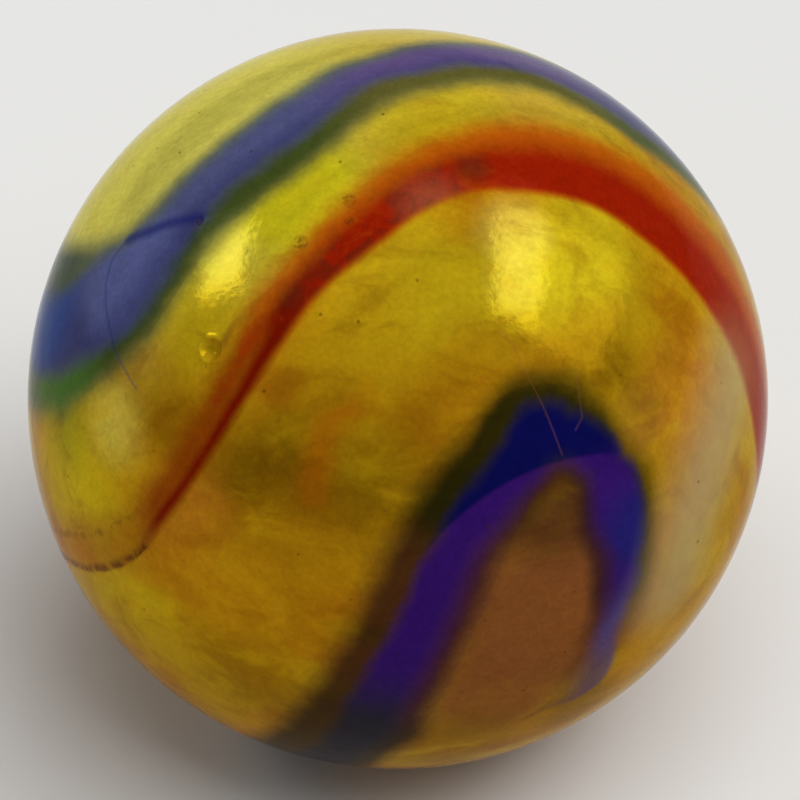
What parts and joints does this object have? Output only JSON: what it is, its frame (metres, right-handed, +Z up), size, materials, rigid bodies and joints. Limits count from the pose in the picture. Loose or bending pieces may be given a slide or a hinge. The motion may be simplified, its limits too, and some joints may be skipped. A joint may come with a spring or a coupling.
{
  "type": "glass marble",
  "caption": "Solid amber glass ball with blue and red ribbons of coloured glass fused flush into its surface, for play, display or as a rolling weight.",
  "frame": {"origin": "centre of the ball", "axes": "+Z is up as the marble lay in the picture, -Y is the side turned to the viewer and +X is to the viewer's right"},
  "size_m": [0.016, 0.016, 0.016],
  "materials": {
    "amber_glass": "glossy, cloudy amber and lemon swirled glass with a faint metallic lustre",
    "blue_glass": "glossy, hazy blue glass that thins out to green at its edges",
    "red_glass": "glossy, deep red glass that thins out to orange at its edges",
    "violet_blue_glass": "glossy, deep blue to violet glass that thins out to dark green at its edges"
  },
  "bodies": {
    "root": {"amber_body": "amber_glass", "upper_blue_ribbon": "blue_glass", "red_ribbon": "red_glass", "lower_blue_ribbon": "violet_blue_glass"}
  },
  "joints": []
}
